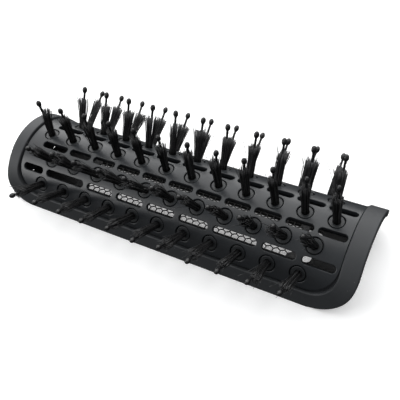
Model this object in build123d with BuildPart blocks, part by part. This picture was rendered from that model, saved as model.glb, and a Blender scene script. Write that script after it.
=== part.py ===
from build123d import *
import os
from math import cos, radians, sin, sqrt

# Bristle-brush shell of a hot-air hair styler. It is a half barrel that lies on
# its underside, closed at the -X end. X runs along the barrel, the front side is -Y and Z is up.
# The origin is the middle of the underside, where the barrel axis lies too. All
# lengths are in millimetres, and all angles in degrees from the crest, positive
# towards the front.

# ---- driving dimensions ----
length = 134.0                # outer frame, end to end
barrel_radius = 19.0          # outer face of the cover plate
leg_angle = 75.0              # the arch goes over into straight legs here
plate_thickness = 1.2
frame_proud = 0.8             # outer frame stands this far above the plate
frame_wall = 2.0
end_wall = 1.0                # closes the -X end
tuft_pitch = 10.0             # along every row
tuft_reach = 10.5             # bristle tips above the plate
pin_reach = 15.5              # ball tips above the plate
slot_height = 2.5
mesh_pitch = 2.5              # honeycomb cell to cell

# ---- radii of the layers, from the outside in ----
frame_radius = barrel_radius + frame_proud
inner_radius = frame_radius - frame_wall
border_radius = inner_radius + plate_thickness / 3
strip_radius = inner_radius - 1.6
cut_depth = 3.0
over_cut = 1.0                # a cutter starts this far off the face that it cuts
over_all = 60.0               # longer than anything that it has to cut
tolerance = 0.02              # closer than this counts as touching

# ---- outer frame ----
low_corner = 10.0             # lower corner radius at the -X end
high_corner = 14.0            # lower corner radius at the +X end
opening_low = -62.1
opening_high = 61.1
opening_corner = 9.0
leg_length = 5.3              # from the end of the arch down to the underside
edge_softening = 0.4

# ---- cover plate ----
gap_low = 0.4                 # round the plate's raised field
gap_high = 0.15
gap_front = 0.65
field_corner = 10.0
border_overlap = 1.3          # plate border that lies under the frame
border_clearance = 0.2
lip_rounding = 0.25

# ---- rows of tufts: angle, first tuft's X, number of tufts ----
rows = {
    "1": (60, -51.0, 11),
    "2": (30, -48.4, 11),
    "3": (0, -55.0, 12),
    "4": (-30, -48.4, 11),
    "5": (-60, -52.7, 11),
}
hole_radius = 2.7
boss_radius = 2.45
boss_top = barrel_radius - 0.3
boss_rounding = 0.3
socket_radius = 1.35
boss_root = strip_radius + 0.5
socket_floor = strip_radius + 0.7

# ---- air slots ----
high_slot_angles = (15, -15)
slot_count = 11
slot_pitch = 10.45
slot_length = 9.0
first_slot = -48.9            # centre of the first slot
first_slot_extra = 1.9        # the first slot reaches this much further out
low_slot_angles = (45, -45)
low_slot_start = -59.9
low_slot_gap = 1.9
low_slot_lengths = (8.7, 16.5, 10.6, 10.6, 10.6, 10.6, 15.2, 11.0, 10.6)

# ---- carrier strips ----
strip_half_angle = 10.0
strip_low = -65.8
strip_high = 64.4
stake_radius = 0.7
stake_low = -64.9
stake_high = 63.6
stake_inset = 0.3             # a stake ends this far below the strip
stake_root = 0.3              # and starts this far inside the frame's wall

# ---- tufts, pins and anchors ----
anchor_size = (2.3, 0.35, 0.7)
tuft_foot = socket_floor + anchor_size[2]
tuft_foot_radius = 1.3
tuft_top_radius = 1.85
pin_radius = 0.4
pin_clearance = 0.04
ball_radius = 0.9
ball_half_height = 1.25

# ---- base frame, grille and screws ----
base_low = -65.5
base_high = 61.5
base_half_width = 17.5
base_floor = 1.2
base_top = 2.5
base_corner = 8.0
window_low = -42.5
window_high = 49.0
window_half_width = 6.8
window_corner = 1.5
rail_low = -44.0              # rails along both sides of the grille
rail_high = 44.0
rail_offset = 8.9             # inner face of a rail, from the middle plane
rail_height = 1.6
rail_width = 1.0
nib_length = 4.0
nib_positions = (-30.0, 0.0, 30.0)
mesh_low = -44.3
mesh_high = 44.3              # short of the window's +X end, which stays open
mesh_half_width = 8.8
mesh_thickness = 0.3
mesh_bar = 0.3
mesh_margin = 0.9
lug_positions = (-52.0, 48.0)
lug_size = (6.0, 4.4, 2.0)
pilot_depth = 1.7
screw_offset = 15.4           # from the middle plane
screw_radius = 0.8
screw_clearance = 0.1
head_radius = 1.7
head_depth = 0.9
screw_length = 3.0
recess_length = 1.9
recess_width = 0.4
recess_depth = 0.5

os.makedirs("parts", exist_ok=True)


def radial(angle):
    """Direction that points away from the barrel axis at an angle."""
    return Vector(0, -sin(radians(angle)), cos(radians(angle)))


def barrel_plane(angle, radius):
    """Plane square to the radial direction, with its X along the barrel."""
    return Plane(origin=radial(angle) * radius, x_dir=(1, 0, 0), z_dir=radial(angle))


def side_trim(low, high, bottom, low_radius, high_radius):
    """Everything inside a panel's outline, which is drawn square to each leg.

    The bottom is measured down the leg from the end of the arch. The outline is
    open at the top and has two rounded lower corners on each side.
    """
    with BuildPart() as trim:
        with BuildSketch(barrel_plane(leg_angle, 0)) as outline:
            with Locations(((low + high) / 2, bottom)):
                Rectangle(high - low, over_all, align=(Align.CENTER, Align.MIN))
            fillet(outline.vertices().group_by(Axis.Y)[0].sort_by(Axis.X)[0], low_radius)
            fillet(outline.vertices().group_by(Axis.Y)[0].sort_by(Axis.X)[-1], high_radius)
        extrude(amount=over_all)
        mirror(about=Plane.XZ)
    return trim.part


def arch_profile(radius):
    """Filled cross-section of the barrel: an arch with straight splayed legs."""
    foot = radius / sin(radians(leg_angle))
    with BuildSketch() as profile:
        with BuildLine():
            arch = CenterArc((0, 0), radius, 90 - leg_angle, 2 * leg_angle)
            Polyline(arch @ 0, (foot, 0), (-foot, 0), arch @ 1)
        make_face()
    return profile.sketch


def arched_panel(outer, inner, trim):
    """Shell between two radii, cut to its side outline."""
    with BuildPart() as panel:
        with BuildSketch(Plane.YZ.offset(-length / 2)):
            add(arch_profile(outer))
            add(arch_profile(inner), mode=Mode.SUBTRACT)
        extrude(amount=length)
        add(trim, mode=Mode.INTERSECT)
    return panel.part


def rise_above_leg(point):
    """How far a point is above the end of the arch, measured along the leg."""
    return point.Z * sin(radians(leg_angle)) - abs(point.Y) * cos(radians(leg_angle))


def from_barrel_axis(point):
    """Radius of the arched face through a point, or the leg that goes on from it."""
    outwards = abs(point.Y) * sin(radians(leg_angle)) + point.Z * cos(radians(leg_angle))
    return sqrt(outwards**2 + max(rise_above_leg(point), 0) ** 2)


def height_along(angle, point):
    """How far a point is from the barrel axis, along the radial direction of a row."""
    return radial(angle).dot(point)


def edges_at_radius(part, radius):
    """Edges that lie on the arched face of one radius, without its seams."""

    def on_face(edge):
        return all(abs(from_barrel_axis(edge @ t) - radius) < tolerance for t in (0, 0.3, 0.5, 0.8, 1))

    def on_seam(edge):
        along_barrel = abs((edge % 0.5).X) > 1 - tolerance
        return along_barrel and abs(rise_above_leg(edge @ 0)) < tolerance

    return part.edges().filter_by(lambda e: on_face(e) and not on_seam(e))


def tuft_locations(angle, first, count):
    """One place for each tuft of a row, on the barrel axis, with Z pointing out."""
    plane = barrel_plane(angle, 0)
    return [plane * Location((first + number * tuft_pitch, 0, 0)) for number in range(count)]


# ---- outer frame ----
pocket_overlap = border_overlap + border_clearance
frame_trim = side_trim(-length / 2, length / 2, -leg_length, low_corner, high_corner)
opening_trim = side_trim(opening_low, opening_high, 0, opening_corner, opening_corner)
pocket_trim = side_trim(
    opening_low - pocket_overlap,
    opening_high + pocket_overlap,
    -pocket_overlap,
    opening_corner + border_overlap,
    opening_corner + border_overlap,
)
frame_arch = arched_panel(frame_radius, inner_radius, frame_trim)
opening_cutter = arched_panel(frame_radius + over_cut, inner_radius - over_cut, opening_trim)
plate_pocket = arched_panel(border_radius, inner_radius - over_cut, pocket_trim)

with BuildPart() as closed_end:
    with BuildSketch(Plane.YZ.offset(-length / 2)):
        add(arch_profile(border_radius))
    extrude(amount=end_wall)
    add(frame_trim, mode=Mode.INTERSECT)

with BuildPart() as outer_frame:
    add(frame_arch)
    add(closed_end.part)
    add(opening_cutter, mode=Mode.SUBTRACT)
    add(plate_pocket, mode=Mode.SUBTRACT)
    fillet(edges_at_radius(outer_frame.part, frame_radius), edge_softening)
    # Lugs on the inner walls take the screws of the base frame.
    for side in (-1, 1):
        with Locations(*[(x, side * inner_radius, base_top) for x in lug_positions]):
            edge = Align.MAX if side > 0 else Align.MIN
            Box(*lug_size, align=(Align.CENTER, edge, Align.MIN))
    with BuildSketch(Plane.XY.offset(base_top)):
        with Locations(*[(x, y) for x in lug_positions for y in (-screw_offset, screw_offset)]):
            Circle(screw_radius)
    extrude(amount=pilot_depth, mode=Mode.SUBTRACT)
    # Stakes inside the end bands hold the ends of the carrier strips.
    for angle, _, _ in rows.values():
        with BuildSketch(barrel_plane(angle, strip_radius - stake_inset)):
            with Locations((stake_low, 0), (stake_high, 0)):
                Circle(stake_radius)
        extrude(amount=inner_radius - strip_radius + stake_inset + stake_root)
outer_frame.part.label = "outer_frame"
export_step(outer_frame.part, "parts/outer_frame.step")

# ---- cover plate ----
field_trim = side_trim(
    opening_low + gap_low, opening_high - gap_high, gap_front, field_corner, field_corner
)
border_trim = side_trim(
    opening_low - border_overlap,
    opening_high + border_overlap,
    -border_overlap,
    opening_corner + border_overlap,
    opening_corner + border_overlap,
)
plate_field = arched_panel(barrel_radius, inner_radius, field_trim)
plate_border = arched_panel(border_radius, inner_radius, border_trim)

with BuildPart() as cover_plate:
    add(plate_field)
    add(plate_border)
    for angle in high_slot_angles:
        with BuildSketch(barrel_plane(angle, barrel_radius + over_cut)):
            with Locations((first_slot - first_slot_extra / 2, 0)):
                SlotOverall(slot_length + first_slot_extra, slot_height)
            with Locations(*[(first_slot + n * slot_pitch, 0) for n in range(1, slot_count)]):
                SlotOverall(slot_length, slot_height)
        extrude(amount=-cut_depth, mode=Mode.SUBTRACT)
    for angle in low_slot_angles:
        with BuildSketch(barrel_plane(angle, barrel_radius + over_cut)):
            start = low_slot_start
            for low_slot_length in low_slot_lengths:
                with Locations((start + low_slot_length / 2, 0)):
                    SlotOverall(low_slot_length, slot_height)
                start += low_slot_length + low_slot_gap
        extrude(amount=-cut_depth, mode=Mode.SUBTRACT)
    for angle, first, count in rows.values():
        with BuildSketch(barrel_plane(angle, barrel_radius + over_cut)):
            with Locations(*[(first + n * tuft_pitch, 0) for n in range(count)]):
                Circle(hole_radius)
        extrude(amount=-cut_depth, mode=Mode.SUBTRACT)
    fillet(edges_at_radius(cover_plate.part, barrel_radius), lip_rounding)
cover_plate.part.label = "cover_plate"
export_step(cover_plate.part, "parts/cover_plate.step")


# ---- one carrier strip for each row, with a boss through every plate hole ----
def carrier_strip(angle, first, count):
    """Curved strip under the plate, with one socketed boss for each tuft."""
    with BuildPart() as strip:
        with BuildSketch(Plane.YZ.offset(strip_low)):
            with BuildLine():
                start = 90 + angle - strip_half_angle
                outer_arc = CenterArc((0, 0), inner_radius, start, 2 * strip_half_angle)
                inner_arc = CenterArc((0, 0), strip_radius, start, 2 * strip_half_angle)
                Line(outer_arc @ 0, inner_arc @ 0)
                Line(outer_arc @ 1, inner_arc @ 1)
            make_face()
        extrude(amount=strip_high - strip_low)
        for place in tuft_locations(angle, first, count):
            with BuildSketch(Plane(place * Location((0, 0, boss_root)))):
                Circle(boss_radius)
            extrude(amount=boss_top - boss_root)
        tops = strip.faces().filter_by(lambda f: abs(height_along(angle, f.center()) - boss_top) < tolerance)
        fillet(tops.edges(), boss_rounding)
        for place in tuft_locations(angle, first, count):
            with BuildSketch(Plane(place * Location((0, 0, socket_floor)))):
                Circle(socket_radius)
            extrude(amount=cut_depth, mode=Mode.SUBTRACT)
        with BuildSketch(barrel_plane(angle, strip_radius - over_cut)):
            with Locations((stake_low, 0), (stake_high, 0)):
                Circle(stake_radius)
        extrude(amount=cut_depth, mode=Mode.SUBTRACT)
    return strip.part


# ---- one tuft, one ball-tipped pin and one anchor, each standing along Z ----
with BuildPart() as tuft:
    with BuildSketch(Plane.XZ):
        with BuildLine():
            Polyline(
                (pin_radius + pin_clearance, tuft_foot),
                (tuft_foot_radius, tuft_foot),
                (tuft_foot_radius, boss_top),
                (tuft_top_radius, barrel_radius + tuft_reach),
                (pin_radius + pin_clearance, barrel_radius + tuft_reach),
                close=True,
            )
        make_face()
    revolve(axis=Axis.Z)

ball_middle = barrel_radius + pin_reach - ball_half_height
with BuildPart() as pin:
    with BuildSketch(Plane.XZ):
        with Locations((0, ball_middle)):
            Ellipse(ball_radius, ball_half_height)
        with Locations((0, tuft_foot)):
            Rectangle(2 * pin_radius, ball_middle - tuft_foot, align=(Align.CENTER, Align.MIN))
        with Locations((0, tuft_foot)):
            Rectangle(over_all, over_all, align=(Align.MAX, Align.MIN), mode=Mode.SUBTRACT)
    revolve(axis=Axis.Z)

with BuildPart() as anchor:
    with Locations((0, 0, socket_floor)):
        Box(*anchor_size, align=(Align.CENTER, Align.CENTER, Align.MIN))

for row, (angle, first, count) in rows.items():
    places = tuft_locations(angle, first, count)

    strip_part = carrier_strip(angle, first, count)
    strip_part.label = f"bristle_strip_{row}"
    export_step(strip_part, f"parts/bristle_strip_{row}.step")

    with BuildPart() as row_tufts:
        with Locations(*places):
            add(tuft.part)
    row_tufts.part.label = f"bristle_tufts_{row}"
    export_step(row_tufts.part, f"parts/bristle_tufts_{row}.step")

    with BuildPart() as row_pins:
        with Locations(*places):
            add(pin.part)
    row_pins.part.label = f"ball_pins_{row}"
    export_step(row_pins.part, f"parts/ball_pins_{row}.step")

    with BuildPart() as row_anchors:
        with Locations(*places):
            add(anchor.part)
    row_anchors.part.label = f"tuft_anchors_{row}"
    export_step(row_anchors.part, f"parts/tuft_anchors_{row}.step")

# ---- base frame: closes the underside round the air window ----
with BuildPart() as base_frame:
    with BuildSketch(Plane.XY.offset(base_floor)):
        with Locations(((base_low + base_high) / 2, 0)):
            RectangleRounded(base_high - base_low, 2 * base_half_width, base_corner)
    extrude(amount=base_top - base_floor)
    for side in (-1, 1):
        with Locations(((rail_low + rail_high) / 2, side * rail_offset, base_top)):
            edge = Align.MIN if side > 0 else Align.MAX
            Box(rail_high - rail_low, rail_width, rail_height, align=(Align.CENTER, edge, Align.MIN))
        nib_floor = base_top + mesh_thickness
        with Locations(*[(x, side * rail_offset, nib_floor) for x in nib_positions]):
            Box(nib_length, rail_width, rail_height / 2, align=(Align.CENTER, Align.CENTER, Align.MIN))
    with BuildSketch(Plane.XY.offset(base_floor)):
        with Locations(((window_low + window_high) / 2, 0)):
            RectangleRounded(window_high - window_low, 2 * window_half_width, window_corner)
    extrude(amount=base_top - base_floor, mode=Mode.SUBTRACT)
    with Locations(*[(x, y, base_floor) for x in lug_positions for y in (-screw_offset, screw_offset)]):
        with Locations(Rotation(180, 0, 0)):
            CounterSinkHole(screw_radius + screw_clearance, head_radius + screw_clearance, base_top, 90)
base_frame.part.label = "base_frame"
export_step(base_frame.part, "parts/base_frame.step")

# ---- honeycomb grille: thin pressed sheet that lies on the base frame ----
row_spacing = mesh_pitch * cos(radians(30))
cell_rows = int((mesh_half_width - mesh_margin - mesh_pitch / 2) / row_spacing)
cells_along = int((mesh_high - mesh_low - 2 * mesh_margin) / mesh_pitch)
mesh_start = (mesh_low + mesh_high - (cells_along - 1) * mesh_pitch) / 2
cells = [
    (mesh_start + (n + (r % 2) / 2) * mesh_pitch, r * row_spacing)
    for r in range(-cell_rows, cell_rows + 1)
    for n in range(cells_along - r % 2)
]
cell_radius = (mesh_pitch - mesh_bar) / 2 / cos(radians(30))
cell_corners = [
    (cell_radius * cos(radians(turn)), cell_radius * sin(radians(turn)))
    for turn in range(30, 390, 60)
]
sheet_corners = [
    (mesh_low, -mesh_half_width),
    (mesh_high, -mesh_half_width),
    (mesh_high, mesh_half_width),
    (mesh_low, mesh_half_width),
]
# The sheet is one face with a hole for each cell, which is much quicker than cutting them.
mesh_sheet = Face(
    Wire.make_polygon(sheet_corners),
    [Wire.make_polygon([(x + dx, y + dy) for dx, dy in cell_corners]) for x, y in cells],
)
with BuildPart() as honeycomb_grille:
    with BuildSketch(Plane.XY.offset(base_top)):
        add(mesh_sheet)
    extrude(amount=mesh_thickness)
honeycomb_grille.part.label = "honeycomb_grille"
export_step(honeycomb_grille.part, "parts/honeycomb_grille.step")

# ---- four countersunk screws hold the base frame to the lugs ----
with BuildPart() as screw:
    with BuildSketch(Plane.XZ):
        with BuildLine():
            Polyline(
                (0, 0),
                (head_radius, 0),
                (screw_radius, head_depth),
                (screw_radius, screw_length),
                (0, screw_length),
                close=True,
            )
        make_face()
    revolve(axis=Axis.Z)
    with BuildSketch(Plane.XY):
        Rectangle(recess_length, recess_width)
        Rectangle(recess_width, recess_length)
    extrude(amount=recess_depth, mode=Mode.SUBTRACT)

with BuildPart() as base_screws:
    with Locations(*[(x, y, base_floor) for x in lug_positions for y in (-screw_offset, screw_offset)]):
        add(screw.part)
base_screws.part.label = "base_screws"
export_step(base_screws.part, "parts/base_screws.step")
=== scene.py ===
from math import radians

import bpy
import numpy as np
from bpy.props import FloatProperty, FloatVectorProperty, IntProperty, PointerProperty
from bpy.types import Operator, Panel, PropertyGroup
from mathutils import Matrix, Vector


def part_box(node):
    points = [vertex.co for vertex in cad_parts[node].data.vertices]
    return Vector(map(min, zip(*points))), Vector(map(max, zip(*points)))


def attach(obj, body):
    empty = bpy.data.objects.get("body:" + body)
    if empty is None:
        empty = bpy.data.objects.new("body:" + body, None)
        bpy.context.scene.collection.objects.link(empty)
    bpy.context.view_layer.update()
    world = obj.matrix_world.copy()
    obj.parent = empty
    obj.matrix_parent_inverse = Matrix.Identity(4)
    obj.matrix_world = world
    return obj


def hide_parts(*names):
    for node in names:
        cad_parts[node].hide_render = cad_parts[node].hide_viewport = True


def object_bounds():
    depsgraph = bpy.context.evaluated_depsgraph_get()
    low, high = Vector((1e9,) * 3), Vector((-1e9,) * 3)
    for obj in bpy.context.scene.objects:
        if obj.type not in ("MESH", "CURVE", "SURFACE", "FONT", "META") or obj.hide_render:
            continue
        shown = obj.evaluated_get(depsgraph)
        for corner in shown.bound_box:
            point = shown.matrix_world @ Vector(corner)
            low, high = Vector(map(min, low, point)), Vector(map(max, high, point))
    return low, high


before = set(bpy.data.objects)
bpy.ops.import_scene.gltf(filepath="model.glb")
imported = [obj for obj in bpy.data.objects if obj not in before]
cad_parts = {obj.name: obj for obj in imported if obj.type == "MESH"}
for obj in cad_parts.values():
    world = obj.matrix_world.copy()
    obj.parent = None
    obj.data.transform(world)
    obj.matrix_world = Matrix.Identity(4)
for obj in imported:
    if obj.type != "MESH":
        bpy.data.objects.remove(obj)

bl_info = {
    "name": "Styler brush shell",
    "version": (1, 0, 0),
    "blender": (4, 5, 0),
    "location": "View3D > Sidebar > Brush shell",
    "description": "Tufts, pins, finishes and stage of a half-barrel bristle brush shell",
    "category": "Object",
}

cad_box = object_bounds()
mm = 0.001

# ---- what the frame says: the barrel, and one tuft row for each carrier strip ----
barrel_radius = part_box("cover_plate")[1][2]                  # the barrel axis is at height 0
boss_top = barrel_radius - 0.3 * mm
row_angles = {1: 60, 2: 30, 3: 0, 4: -30, 5: -60}            # degrees from the crest, towards -Y
row_reach = {1: 1.10, 2: 1.12, 3: 1.06, 4: 0.98, 5: 0.98}     # share of the tuft reach
row_looseness = {1: 1.1, 2: 1.3, 3: 1.1, 4: 1.3, 5: 1.4}     # share of the splay, lean and wander
tuft_pitch = 10.0 * mm
tuft_top_radius = 1.85 * mm                                  # of the plain tuft in the frame
tuft_root = 0.7 * mm                                         # depth of a filament's foot in its boss
pin_root = 1.6 * mm                                          # and of a pin's
neck_gap = 0.25 * mm                                         # straight stem that ends below the ball

# ---- filaments: how a stray differs from the rest, and how much they vary ----
stray_start = 0.9                                            # share of the tuft radius
stray_splay = 2.6
stray_wander = 4.0
stray_thickness = 0.75
stray_rise = (0.2 * mm, 2.2 * mm)                            # reach beyond the other filaments
tip_thinning = 0.25                                          # share of the radius lost at the tip
splay_power = 1.6                                            # filaments part late, near their tips
tip_crown = 0.25 * mm                                        # drop of a tuft's rim below its middle

# ---- stage: place, target, width and depth, and power of each light ----
lights = {
    "top_light": ((-0.1, 0.4, 0.85), (0, 0, 0.02), (2.2, 1.3), 15.0),
    "back_light": ((-0.5, 0.8, 0.4), (0, 0, 0.02), (1.4, 0.5), 5.0),
    "left_fill": ((-0.55, -0.45, 0.3), (-0.03, 0, 0.02), (0.4, 0.4), 2.0),
}
sky = {"From Min": -0.35, "From Max": 1.0, "To Min": 0.04, "To Max": 0.5}    # strength by height
sky_colour = (0.97, 0.985, 1, 1)
floor_cells = 4


# ---------------------------------------------------------------- settings
class BrushSizes(PropertyGroup):
    """Sizes of the bristles and pins."""

    filaments: IntProperty(
        name="Filaments", description="Nylon filaments in one tuft", default=72, min=8, max=200
    )
    strays: IntProperty(
        name="Strays", description="Longer filaments that lean out of one tuft", default=4, min=0, max=20
    )
    filament_radius: FloatProperty(
        name="Filament radius", description="Radius of one filament", default=0.125 * mm, unit="LENGTH"
    )
    tuft_radius: FloatProperty(
        name="Tuft radius", description="Radius of a tuft where it leaves its boss", default=1.22 * mm,
        unit="LENGTH",
    )
    tuft_reach: FloatProperty(
        name="Tuft reach", description="Middle height of the bristle tips above the cover",
        default=10.5 * mm, unit="LENGTH",
    )
    splay: FloatProperty(
        name="Splay", description="How much wider a tuft is at its tips", default=0.36, min=0, max=2
    )
    pin_radius: FloatProperty(
        name="Pin radius", description="Radius of a pin's stem", default=0.4 * mm, unit="LENGTH"
    )
    ball_radius: FloatProperty(
        name="Ball radius", description="Radius of the ball at a pin's tip", default=0.9 * mm,
        unit="LENGTH",
    )
    ball_half_height: FloatProperty(
        name="Ball half height", description="Half the height of the ball", default=1.25 * mm,
        unit="LENGTH",
    )
    pin_reach: FloatProperty(
        name="Pin reach", description="Top of the ball above the cover", default=15.5 * mm,
        unit="LENGTH",
    )
    pin_bend: FloatProperty(
        name="Pin bend", description="Typical sideways lean of a pin at its tip", default=0.35 * mm,
        unit="LENGTH",
    )


def colour_property(name, description, default):
    """A colour without alpha, shown with a picker."""
    return FloatVectorProperty(
        name=name, description=description, default=default, subtype="COLOR", size=3, min=0, max=1
    )


class BrushColours(PropertyGroup):
    """Colours of the mouldings and metals."""

    frame_colour: colour_property("Frame", "Matte charcoal of the outer frame", (0.034, 0.0365, 0.0395))
    cover_colour: colour_property("Cover", "Glossy blue-grey black of the cover", (0.018, 0.0205, 0.0235))
    strip_colour: colour_property("Strips", "Satin black of the carrier strips", (0.016, 0.018, 0.020))
    nylon_colour: colour_property("Nylon", "Black of the bristles and pins", (0.0065, 0.0065, 0.007))
    tip_colour: colour_property("Tips", "Dull grey of the cut bristle tips", (0.06, 0.06, 0.062))
    base_colour: colour_property("Base", "Matte black of the base frame", (0.012, 0.0125, 0.013))
    mesh_colour: colour_property("Grille", "Blackened steel of the grille", (0.05, 0.05, 0.052))
    screw_colour: colour_property("Screws", "Zinc plating of the screws", (0.42, 0.42, 0.44))
    anchor_colour: colour_property("Anchors", "Drawn wire of the anchors", (0.5, 0.47, 0.42))


class StageSettings(PropertyGroup):
    """Floor, lights and camera."""

    floor_colour: colour_property("Floor", "White of the floor", (0.93, 0.93, 0.93))
    floor_size: FloatProperty(
        name="Floor size", description="Side of the floor", default=6.0, unit="LENGTH"
    )
    focal_length: FloatProperty(
        name="Focal length", description="Lens of the camera on a 36 mm sensor, in millimetres",
        default=53.67,
    )
    azimuth: FloatProperty(
        name="Azimuth", description="Turn of the camera from the front towards +X",
        default=radians(36.35), subtype="ANGLE",
    )
    elevation: FloatProperty(
        name="Elevation", description="Angle that the camera looks down", default=radians(47.88),
        subtype="ANGLE",
    )
    roll: FloatProperty(
        name="Roll", description="Turn of the camera about its own line of sight",
        default=radians(-10.82), subtype="ANGLE",
    )
    camera_place: FloatVectorProperty(
        name="Camera place", description="Where the camera stands", size=3, unit="LENGTH",
        default=(0.0884, -0.1113, 0.1606), subtype="TRANSLATION",
    )


# ---------------------------------------------------------------- shader expressions
class Value:
    """A socket of a shader tree. Sums, differences, products and comparisons add Math nodes."""

    def __init__(self, finish, socket):
        self.finish = finish
        self.socket = socket

    def maths(self, operation, first, second):
        return self.finish.node("ShaderNodeMath", {"operation": operation}, {0: first, 1: second})

    def __add__(self, other):
        return self.maths("ADD", self, other)

    __radd__ = __add__

    def __sub__(self, other):
        return self.maths("SUBTRACT", self, other)

    def __rsub__(self, other):
        return self.maths("SUBTRACT", other, self)

    def __mul__(self, other):
        return self.maths("MULTIPLY", self, other)

    __rmul__ = __mul__

    def __gt__(self, other):
        return self.maths("GREATER_THAN", self, other)


class Finish:
    """One procedural material, whose patterns read the piece's own coordinates."""

    def __init__(self, name, **shader):
        self.material = bpy.data.materials.new(name)
        self.material.use_nodes = True
        self.tree = self.material.node_tree
        self.shader = self.tree.nodes["Principled BSDF"]
        for socket, value in shader.items():
            self.shader.inputs[socket.replace("_", " ")].default_value = value

    def node(self, kind, settings, sockets, output=0):
        """Adds a node: first its settings, then the value or link of each socket."""
        node = self.tree.nodes.new(kind)
        for setting, value in settings.items():
            if setting == "stops":
                for stop, (place, colour) in zip(node.color_ramp.elements, value):
                    stop.position = place
                    stop.color = (*colour, 1)
            else:
                setattr(node, setting, value)
        for socket, value in sockets.items():
            if isinstance(value, Value):
                self.tree.links.new(value.socket, node.inputs[socket])
            else:
                node.inputs[socket].default_value = value
        return Value(self, node.outputs[output])

    def place(self, stretch=(1, 1, 1)):
        """Coordinates in metres on the piece, centred on the object's middle."""
        middle = [-(low + high) / 2 for low, high in zip(*cad_box)]
        own = self.node("ShaderNodeTexCoord", {}, {}, "Object")
        return self.node("ShaderNodeMapping", {}, {"Vector": own, "Location": middle, "Scale": stretch})

    def noise(self, size, detail=3.0, roughness=0.5, stretch=(1, 1, 1)):
        """Cloudy pattern from 0 to 1 whose spots are about one size wide, in metres."""
        sockets = {
            "Vector": self.place(stretch), "Scale": 1 / size, "Detail": detail, "Roughness": roughness,
        }
        return self.node("ShaderNodeTexNoise", {}, sockets, "Fac")

    def ramp(self, value, low, high):
        """Value stretched so that low becomes 0 and high becomes 1."""
        sockets = {"Value": value, "From Min": low, "From Max": high}
        return self.node("ShaderNodeMapRange", {"clamp": True}, sockets)

    def mix(self, factor, first, second):
        """Colour that goes from the first to the second."""
        first, second = ((*c, 1) if isinstance(c, tuple) else c for c in (first, second))
        settings = {"data_type": "RGBA", "blend_type": "MIX"}
        return self.node("ShaderNodeMix", settings, {0: factor, 6: first, 7: second}, 2)

    def bump(self, height, distance, strength=1.0, under=None):
        """Normal that follows a height, where 1 stands for a distance in metres."""
        sockets = {"Height": height, "Distance": distance, "Strength": strength}
        if under is not None:
            sockets["Normal"] = under
        return self.node("ShaderNodeBump", {}, sockets)

    def feed(self, **shader):
        """Links patterns to the shader and gives back the material."""
        for socket, value in shader.items():
            self.tree.links.new(value.socket, self.shader.inputs[socket.replace("_", " ")])
        return self.material


def brighter(colour, factor):
    """A colour times a factor, as a tuple."""
    return tuple(min(1.0, part * factor) for part in colour)


# ---------------------------------------------------------------- finishes
def matte_frame_plastic(colours):
    """Charcoal moulding with a fine spark-eroded grain, cloudy tone and a few dust specks."""
    finish = Finish("matte_frame_plastic", IOR=1.46)
    cloud = finish.noise(9 * mm, 4)
    grain = finish.noise(0.22 * mm, 2)
    specks = finish.noise(0.9 * mm, 1) > 0.79
    tone = finish.mix(
        cloud, brighter(colours.frame_colour, 0.86), brighter(colours.frame_colour, 1.16)
    )
    dusted = finish.mix(specks * 0.35, tone, (0.22, 0.22, 0.21))
    return finish.feed(
        Base_Color=dusted,
        Roughness=0.44 + 0.12 * grain + 0.06 * cloud,
        Normal=finish.bump(grain, 0.02 * mm, 0.35),
    )


def glossy_cover_plastic(colours):
    """Polished blue-black moulding with faint waviness, handling marks and dust."""
    finish = Finish("glossy_cover_plastic", IOR=1.5)
    cloud = finish.noise(14 * mm, 3)
    smudge = finish.ramp(finish.noise(5 * mm, 5, 0.65, (0.5, 1, 1)), 0.42, 0.72)
    wave = finish.noise(3 * mm, 2)
    grain = finish.noise(0.12 * mm, 2)
    specks = finish.noise(0.7 * mm, 1) > 0.8
    tone = finish.mix(
        cloud, brighter(colours.cover_colour, 0.85), brighter(colours.cover_colour, 1.2)
    )
    return finish.feed(
        Base_Color=finish.mix(specks * 0.25, tone, (0.2, 0.2, 0.19)),
        Roughness=0.27 + 0.1 * smudge + 0.04 * grain,
        Normal=finish.bump(grain, 0.004 * mm, 0.3, finish.bump(wave, 0.02 * mm, 0.25)),
    )


def satin_strip_plastic(colours):
    """Black moulding of the carrier strips, with a soft sheen and fine scuffs along it."""
    finish = Finish("satin_strip_plastic", IOR=1.46)
    scuffs = finish.noise(0.5 * mm, 4, 0.6, (0.15, 1, 1))
    cloud = finish.noise(6 * mm, 3)
    return finish.feed(
        Base_Color=finish.mix(
            cloud, brighter(colours.strip_colour, 0.8), brighter(colours.strip_colour, 1.3)
        ),
        Roughness=0.36 + 0.14 * scuffs,
        Normal=finish.bump(scuffs, 0.01 * mm, 0.3),
    )


def bristle_nylon(colours):
    """Black filament that turns dull grey at its cut tip, by the piece's tip attribute."""
    finish = Finish("bristle_nylon", IOR=1.53)
    tip = finish.node("ShaderNodeAttribute", {"attribute_name": "tip"}, {}, "Fac")
    fade = finish.node("ShaderNodeAttribute", {"attribute_name": "fade"}, {}, "Fac")
    streak = finish.noise(0.35 * mm, 2, 0.5, (1, 1, 0.12))
    body = finish.mix(
        streak, brighter(colours.nylon_colour, 0.6), brighter(colours.nylon_colour, 2.0)
    )
    faded = finish.mix(fade * 0.6, body, tuple(colours.tip_colour))
    return finish.feed(
        Base_Color=finish.mix(finish.ramp(tip, 0.8, 1.0) * 0.7, faded, tuple(colours.tip_colour)),
        Roughness=0.34 + 0.2 * streak,
        Normal=finish.bump(streak, 0.01 * mm, 0.4),
    )


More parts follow.
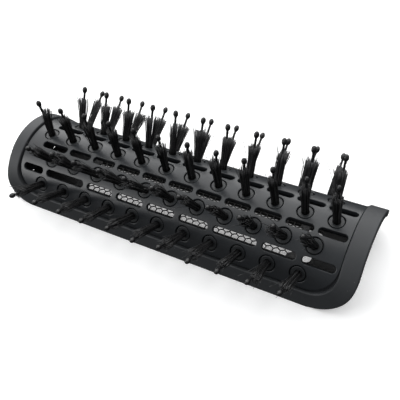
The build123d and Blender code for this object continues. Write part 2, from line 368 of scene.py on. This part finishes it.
def pin_nylon(colours):
    """Glossy black nylon of the ball-tipped pins, with slight moulding waviness."""
    finish = Finish("pin_nylon", IOR=1.53)
    wave = finish.noise(0.6 * mm, 3)
    cloud = finish.noise(4 * mm, 2)
    return finish.feed(
        Base_Color=finish.mix(
            cloud, brighter(colours.nylon_colour, 0.9), brighter(colours.nylon_colour, 1.8)
        ),
        Roughness=0.22 + 0.14 * wave,
        Normal=finish.bump(wave, 0.012 * mm, 0.4),
    )


def matte_base_plastic(colours):
    """Black moulding of the base frame, with a coarse matte grain."""
    finish = Finish("matte_base_plastic", IOR=1.46)
    grain = finish.noise(0.3 * mm, 3)
    cloud = finish.noise(8 * mm, 3)
    return finish.feed(
        Base_Color=finish.mix(
            cloud, brighter(colours.base_colour, 0.8), brighter(colours.base_colour, 1.3)
        ),
        Roughness=0.5 + 0.14 * grain,
        Normal=finish.bump(grain, 0.02 * mm, 0.5),
    )


def blackened_steel(colours):
    """Thin pressed steel with a worn black coat, rolled along the barrel."""
    finish = Finish("blackened_steel", Specular_IOR_Level=0.5)
    rolled = finish.noise(0.4 * mm, 3, 0.6, (0.08, 1, 1))
    worn = finish.ramp(finish.noise(2.5 * mm, 5, 0.7), 0.55, 0.75)
    return finish.feed(
        Base_Color=finish.mix(worn * 0.6, tuple(colours.mesh_colour), (0.2, 0.2, 0.2)),
        Metallic=0.35 + 0.5 * worn,
        Roughness=0.34 + 0.2 * rolled,
        Normal=finish.bump(rolled, 0.008 * mm, 0.4),
    )


def plated_screw_steel(colours):
    """Zinc-plated steel with fine turning marks and darker stains."""
    finish = Finish("plated_screw_steel", Metallic=1.0)
    marks = finish.noise(0.15 * mm, 3)
    stain = finish.noise(1.5 * mm, 4)
    return finish.feed(
        Base_Color=finish.mix(stain, tuple(colours.screw_colour), brighter(colours.screw_colour, 0.55)),
        Roughness=0.26 + 0.2 * marks,
        Normal=finish.bump(marks, 0.01 * mm, 0.4),
    )


def drawn_anchor_wire(colours):
    """Flat drawn wire with streaks along its length."""
    finish = Finish("drawn_anchor_wire", Metallic=1.0)
    streaks = finish.noise(0.12 * mm, 3, 0.6, (0.1, 1, 1))
    return finish.feed(
        Base_Color=finish.mix(streaks, tuple(colours.anchor_colour), brighter(colours.anchor_colour, 0.6)),
        Roughness=0.3 + 0.2 * streaks,
        Normal=finish.bump(streaks, 0.006 * mm, 0.4),
    )


def studio_white(colour):
    """Lit paper: nearly white, with the faintest fibre."""
    finish = Finish("studio_white", Specular_IOR_Level=0.1, Emission_Strength=0.28)
    fibre = finish.noise(2 * mm, 3)
    paper = finish.mix(fibre, brighter(colour, 0.995), brighter(colour, 1.005))
    return finish.feed(Base_Color=paper, Emission_Color=paper, Roughness=0.85 + 0.05 * fibre)


# ---------------------------------------------------------------- meshes
def new_piece(name, points, quads, triangles, material):
    """A smooth-shaded mesh object from whole arrays of points and faces."""
    mesh = bpy.data.meshes.new(name)
    corners = np.concatenate([quads.ravel(), triangles.ravel()]).astype(np.int32)
    sides = np.concatenate([np.full(len(quads), 4), np.full(len(triangles), 3)])
    starts = np.concatenate([[0], np.cumsum(sides)[:-1]]).astype(np.int32)
    mesh.vertices.add(len(points))
    mesh.vertices.foreach_set("co", points.astype(np.float32).ravel())
    mesh.loops.add(len(corners))
    mesh.loops.foreach_set("vertex_index", corners)
    mesh.polygons.add(len(starts))
    mesh.polygons.foreach_set("loop_start", starts)
    mesh.polygons.foreach_set("use_smooth", np.ones(len(starts), dtype=bool))
    mesh.update(calc_edges=True)
    mesh.validate()
    mesh.materials.append(material)
    piece = bpy.data.objects.new(name, mesh)
    bpy.context.scene.collection.objects.link(piece)
    return piece


def row_axes(row):
    """Unit vectors of a row: along the barrel, across the row, and outwards."""
    angle = radians(row_angles[row])
    outwards = np.array([0, -np.sin(angle), np.cos(angle)])
    along = np.array([1.0, 0, 0])
    return along, np.cross(outwards, along), outwards


def row_starts(row):
    """Where each tuft of a row crosses the barrel axis, from the row's box in the frame."""
    low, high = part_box(f"bristle_tufts_{row}")
    count = round((high[0] - low[0] - 2 * tuft_top_radius) / tuft_pitch) + 1
    x = low[0] + tuft_top_radius + tuft_pitch * np.arange(count)
    return np.column_stack([x, np.zeros(count), np.zeros(count)])


def tube_faces(count, rings, sides, first_point=0):
    """Quads of many equal tubes whose points run tube by tube, ring by ring, side by side."""
    tube, ring, side = np.meshgrid(
        np.arange(count), np.arange(rings - 1), np.arange(sides), indexing="ij"
    )
    base = first_point + tube * rings * sides
    near, far = base + ring * sides, base + (ring + 1) * sides
    after = (side + 1) % sides
    return np.stack([near + side, near + after, far + after, far + side], -1).reshape(-1, 4)


def stray_fade(shape, stray):
    """One for each stray filament of a row and nothing for the others, tuft by tuft."""
    return np.broadcast_to(np.where(stray, 1.0, 0.0), shape).ravel()


def bristle_row(row, sizes, random):
    """All filaments of a row, as four-sided tubes.

    Filament i of n starts at radius R * sqrt(i / n) of its tuft and turns by the golden
    angle. Its middle line at s from 0 to 1 is start * (1 + splay * s^1.6) + lean * s^2
    across the tuft, and foot + reach * s along it. The radius thins by a quarter to the tip.
    """
    along, across, outwards = row_axes(row)
    starts = row_starts(row)
    steps, sides = 5, 4
    total = sizes.filaments + sizes.strays
    shape = (len(starts), total)
    number = np.arange(total)
    stray = number >= sizes.filaments
    turn = number * np.pi * (3 - np.sqrt(5)) + random.normal(0, 0.25, shape)
    spread = np.sqrt((number % sizes.filaments + 0.5) / sizes.filaments)
    radius = sizes.tuft_radius * np.where(stray, stray_start, spread) * random.normal(1, 0.03, shape)
    loose = row_looseness[row]
    tuft_splay = sizes.splay * loose * random.uniform(0.5, 1.7, (len(starts), 1))
    splay = tuft_splay * np.where(stray, stray_splay, 1.0) * random.normal(1, 0.25, shape)
    tuft_lean = random.normal(0, 0.3 * mm * loose, (len(starts), 1, 2))
    wander = 0.15 * mm * loose * np.where(stray, stray_wander, 1.0)[:, None]
    lean = tuft_lean + random.normal(0, 1, (*shape, 2)) * wander
    reach = sizes.tuft_reach * row_reach[row] + random.normal(0, 0.32 * mm * loose, shape)
    reach = reach + np.where(stray, random.uniform(*stray_rise, shape), 0)
    reach = reach - tip_crown * spread**2 + random.normal(0, 0.25 * mm, (len(starts), 1))
    s = np.linspace(0, 1, steps + 1)
    flare = 1 + splay[..., None] * s**splay_power
    u = radius[..., None] * np.cos(turn)[..., None] * flare + lean[..., 0, None] * s**2
    v = radius[..., None] * np.sin(turn)[..., None] * flare + lean[..., 1, None] * s**2
    foot = boss_top - tuft_root
    w = foot + (barrel_radius + reach - foot)[..., None] * s
    middle = (
        starts[:, None, None, :] + u[..., None] * along + v[..., None] * across + w[..., None] * outwards
    )
    ring_angle = 2 * np.pi * np.arange(sides) / sides
    ring = np.cos(ring_angle)[:, None] * along + np.sin(ring_angle)[:, None] * across
    thickness = sizes.filament_radius * np.where(stray, stray_thickness, 1.0)[:, None]
    thickness = thickness * (1 - tip_thinning * s)
    points = middle[..., None, :] + thickness[..., None, None] * ring
    tubes = shape[0] * shape[1]
    walls = tube_faces(tubes, steps + 1, sides)
    first = (np.arange(tubes) * (steps + 1) * sides)[:, None]
    feet = first + np.arange(sides)[::-1]
    tips = first + steps * sides + np.arange(sides)
    tip_share = np.broadcast_to(s[None, :, None], (tubes, steps + 1, sides)).ravel()
    fade = np.repeat(random.random(tubes) ** 3 + stray_fade(shape, stray), (steps + 1) * sides)
    return points.reshape(-1, 3), np.concatenate([walls, feet, tips]), tip_share, np.minimum(fade, 1)


def pin_row(row, sizes, random):
    """All ball-tipped pins of a row, each a round profile carried along a bent line.

    The profile is the stem's radius up to the ball, then r * cos(t) at h * sin(t) from the
    ball's middle, with t up to 82 degrees. The line leans by bend * s^2 across the pin,
    where s is the share of the pin's height, and each pole is closed by a fan.
    """
    along, across, outwards = row_axes(row)
    starts = row_starts(row)
    sides, stem_rings, ball_rings = 12, 7, 11
    foot = boss_top - pin_root
    top = barrel_radius + sizes.pin_reach
    ball_middle = top - sizes.ball_half_height
    first_turn = -np.arccos(sizes.pin_radius * 1.15 / sizes.ball_radius)
    ball_turn = np.linspace(first_turn, radians(82), ball_rings)
    ball_height = ball_middle + sizes.ball_half_height * np.sin(ball_turn)
    stem_height = np.linspace(foot, ball_height[0] - neck_gap, stem_rings)
    height = np.concatenate([stem_height, ball_height])
    radius = np.concatenate([
        np.full(stem_rings, sizes.pin_radius), sizes.ball_radius * np.cos(ball_turn)
    ])
    rings = len(height)
    bend = random.normal(0, sizes.pin_bend, (len(starts), 2))
    share = (height - foot) / (top - foot)
    lean = bend[:, None, :] * share[None, :, None] ** 2
    middle = (
        starts[:, None, :] + lean[..., 0, None] * along + lean[..., 1, None] * across
        + height[:, None] * outwards
    )
    ring_angle = 2 * np.pi * np.arange(sides) / sides
    ring = np.cos(ring_angle)[:, None] * along + np.sin(ring_angle)[:, None] * across
    points = middle[:, :, None, :] + radius[None, :, None, None] * ring
    count = len(starts)
    poles = np.stack([
        starts + foot * outwards,
        starts + bend[:, :1] * along + bend[:, 1:] * across + top * outwards,
    ], 1)
    ring_points = points.reshape(-1, 3)
    walls = tube_faces(count, rings, sides)
    pin, side = np.meshgrid(np.arange(count), np.arange(sides), indexing="ij")
    after = (side + 1) % sides
    base = pin * rings * sides
    last = base + (rings - 1) * sides
    low_pole = len(ring_points) + 2 * pin
    low_fan = np.stack([low_pole, base + after, base + side], -1).reshape(-1, 3)
    high_fan = np.stack([low_pole + 1, last + side, last + after], -1).reshape(-1, 3)
    points = np.concatenate([ring_points, poles.reshape(-1, 3)])
    return points, walls, np.concatenate([low_fan, high_fan])


def finish_nodes(material, *nodes):
    """Gives a material to every slot of some pieces of the frame."""
    for node in nodes:
        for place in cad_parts[node].material_slots:
            place.material = material


# ---------------------------------------------------------------- operators
class BRUSH_OT_tufts(Operator):
    """Make the filaments of every tuft row"""

    bl_idname = "brush.tufts"
    bl_label = "Bristle tufts"

    def execute(self, context):
        material = bristle_nylon(context.scene.brush_colours)
        random = np.random.default_rng(11)
        for row in row_angles:
            points, quads, tip, fade = bristle_row(row, context.scene.brush_sizes, random)
            name = f"tuft_filaments_{row}"
            piece = new_piece(name, points, quads, np.empty((0, 3), int), material)
            for attribute_name, values in {"tip": tip, "fade": fade}.items():
                attribute = piece.data.attributes.new(attribute_name, "FLOAT", "POINT")
                attribute.data.foreach_set("value", values.astype(np.float32))
            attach(piece, "root")
            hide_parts(f"bristle_tufts_{row}")
        return {"FINISHED"}


class BRUSH_OT_pins(Operator):
    """Make the ball-tipped pins of every row"""

    bl_idname = "brush.pins"
    bl_label = "Ball pins"

    def execute(self, context):
        material = pin_nylon(context.scene.brush_colours)
        random = np.random.default_rng(5)
        for row in row_angles:
            points, quads, triangles = pin_row(row, context.scene.brush_sizes, random)
            piece = new_piece(f"tipped_pins_{row}", points, quads, triangles, material)
            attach(piece, "root")
            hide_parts(f"ball_pins_{row}")
        return {"FINISHED"}


class BRUSH_OT_shell(Operator):
    """Finish the outer frame and the cover plate"""

    bl_idname = "brush.shell"
    bl_label = "Frame and cover"

    def execute(self, context):
        colours = context.scene.brush_colours
        finish_nodes(matte_frame_plastic(colours), "outer_frame")
        finish_nodes(glossy_cover_plastic(colours), "cover_plate")
        return {"FINISHED"}


class BRUSH_OT_strips(Operator):
    """Finish the carrier strips and the tuft anchors in them"""

    bl_idname = "brush.strips"
    bl_label = "Strips and anchors"

    def execute(self, context):
        colours = context.scene.brush_colours
        finish_nodes(satin_strip_plastic(colours), *[f"bristle_strip_{row}" for row in row_angles])
        finish_nodes(drawn_anchor_wire(colours), *[f"tuft_anchors_{row}" for row in row_angles])
        return {"FINISHED"}


class BRUSH_OT_underside(Operator):
    """Finish the base frame, the grille and the screws"""

    bl_idname = "brush.underside"
    bl_label = "Underside"

    def execute(self, context):
        colours = context.scene.brush_colours
        finish_nodes(matte_base_plastic(colours), "base_frame")
        finish_nodes(blackened_steel(colours), "honeycomb_grille")
        finish_nodes(plated_screw_steel(colours), "base_screws")
        return {"FINISHED"}


def area_light(name, place, target, size, power):
    """A rectangular soft light that faces a target."""
    light = bpy.data.lights.new(name, "AREA")
    light.shape = "RECTANGLE"
    light.size, light.size_y = size
    light.energy = power
    lamp = bpy.data.objects.new(name, light)
    bpy.context.scene.collection.objects.link(lamp)
    lamp.location = place
    lamp.rotation_euler = (Vector(place) - Vector(target)).to_track_quat("Z", "Y").to_euler()


class BRUSH_OT_stage(Operator):
    """Make the floor, the lights and the camera"""

    bl_idname = "brush.stage"
    bl_label = "Stage"

    def execute(self, context):
        stage = context.scene.brush_stage
        half = stage.floor_size / 2
        corners = floor_cells + 1
        grid = np.linspace(-half, half, corners)
        x, y = np.meshgrid(grid, grid, indexing="ij")
        points = np.column_stack([x.ravel(), y.ravel(), np.zeros(x.size)])
        i, j = np.meshgrid(np.arange(floor_cells), np.arange(floor_cells), indexing="ij")
        near, far = i * corners + j, (i + 1) * corners + j
        quads = np.stack([near, far, far + 1, near + 1], -1).reshape(-1, 4)
        paper = studio_white(stage.floor_colour)
        floor = new_piece("floor", points, quads, np.empty((0, 3), int), paper)
        floor.visible_diffuse = False
        floor.visible_glossy = False

        for name, settings in lights.items():
            area_light(name, *settings)

        world = bpy.data.worlds.new("studio")
        world.use_nodes = True
        tree = world.node_tree
        direction = tree.nodes.new("ShaderNodeTexCoord")
        parts = tree.nodes.new("ShaderNodeSeparateXYZ")
        height = tree.nodes.new("ShaderNodeMapRange")
        for socket, value in sky.items():
            height.inputs[socket].default_value = value
        tree.links.new(direction.outputs["Generated"], parts.inputs[0])
        tree.links.new(parts.outputs["Z"], height.inputs["Value"])
        tree.links.new(height.outputs[0], tree.nodes["Background"].inputs["Strength"])
        tree.nodes["Background"].inputs["Color"].default_value = sky_colour
        context.scene.world = world
        context.scene.view_settings.view_transform = "Standard"

        lens = bpy.data.cameras.new("camera")
        lens.lens = stage.focal_length
        lens.clip_start = 0.005
        camera = bpy.data.objects.new("camera", lens)
        context.scene.collection.objects.link(camera)
        camera.location = stage.camera_place
        turn = Matrix.Rotation(stage.azimuth, 3, "Z")
        tilt = Matrix.Rotation(radians(90) - stage.elevation, 3, "X")
        camera.rotation_euler = (turn @ tilt @ Matrix.Rotation(stage.roll, 3, "Z")).to_euler()
        context.scene.camera = camera
        return {"FINISHED"}


class BRUSH_PT_panel(Panel):
    """Lists the steps that build the brush shell"""

    bl_label = "Brush shell"
    bl_idname = "BRUSH_PT_panel"
    bl_space_type = "VIEW_3D"
    bl_region_type = "UI"
    bl_category = "Brush shell"

    def draw(self, context):
        for step in steps:
            self.layout.operator(step.bl_idname)
        for group in ("brush_sizes", "brush_colours", "brush_stage"):
            settings = getattr(context.scene, group)
            for name in settings.__annotations__:
                self.layout.prop(settings, name)


steps = (
    BRUSH_OT_tufts, BRUSH_OT_pins, BRUSH_OT_shell, BRUSH_OT_strips, BRUSH_OT_underside, BRUSH_OT_stage,
)
groups = {"brush_sizes": BrushSizes, "brush_colours": BrushColours, "brush_stage": StageSettings}


def register():
    for cls in (*groups.values(), *steps, BRUSH_PT_panel):
        bpy.utils.register_class(cls)
    for name, group in groups.items():
        setattr(bpy.types.Scene, name, PointerProperty(type=group))


def unregister():
    for name in groups:
        delattr(bpy.types.Scene, name)
    for cls in (BRUSH_PT_panel, *reversed(steps), *reversed(groups.values())):
        bpy.utils.unregister_class(cls)


def main():
    register()
    for step in steps:
        area, name = step.bl_idname.split(".")
        getattr(getattr(bpy.ops, area), name)()


if __name__ == "__main__":
    main()
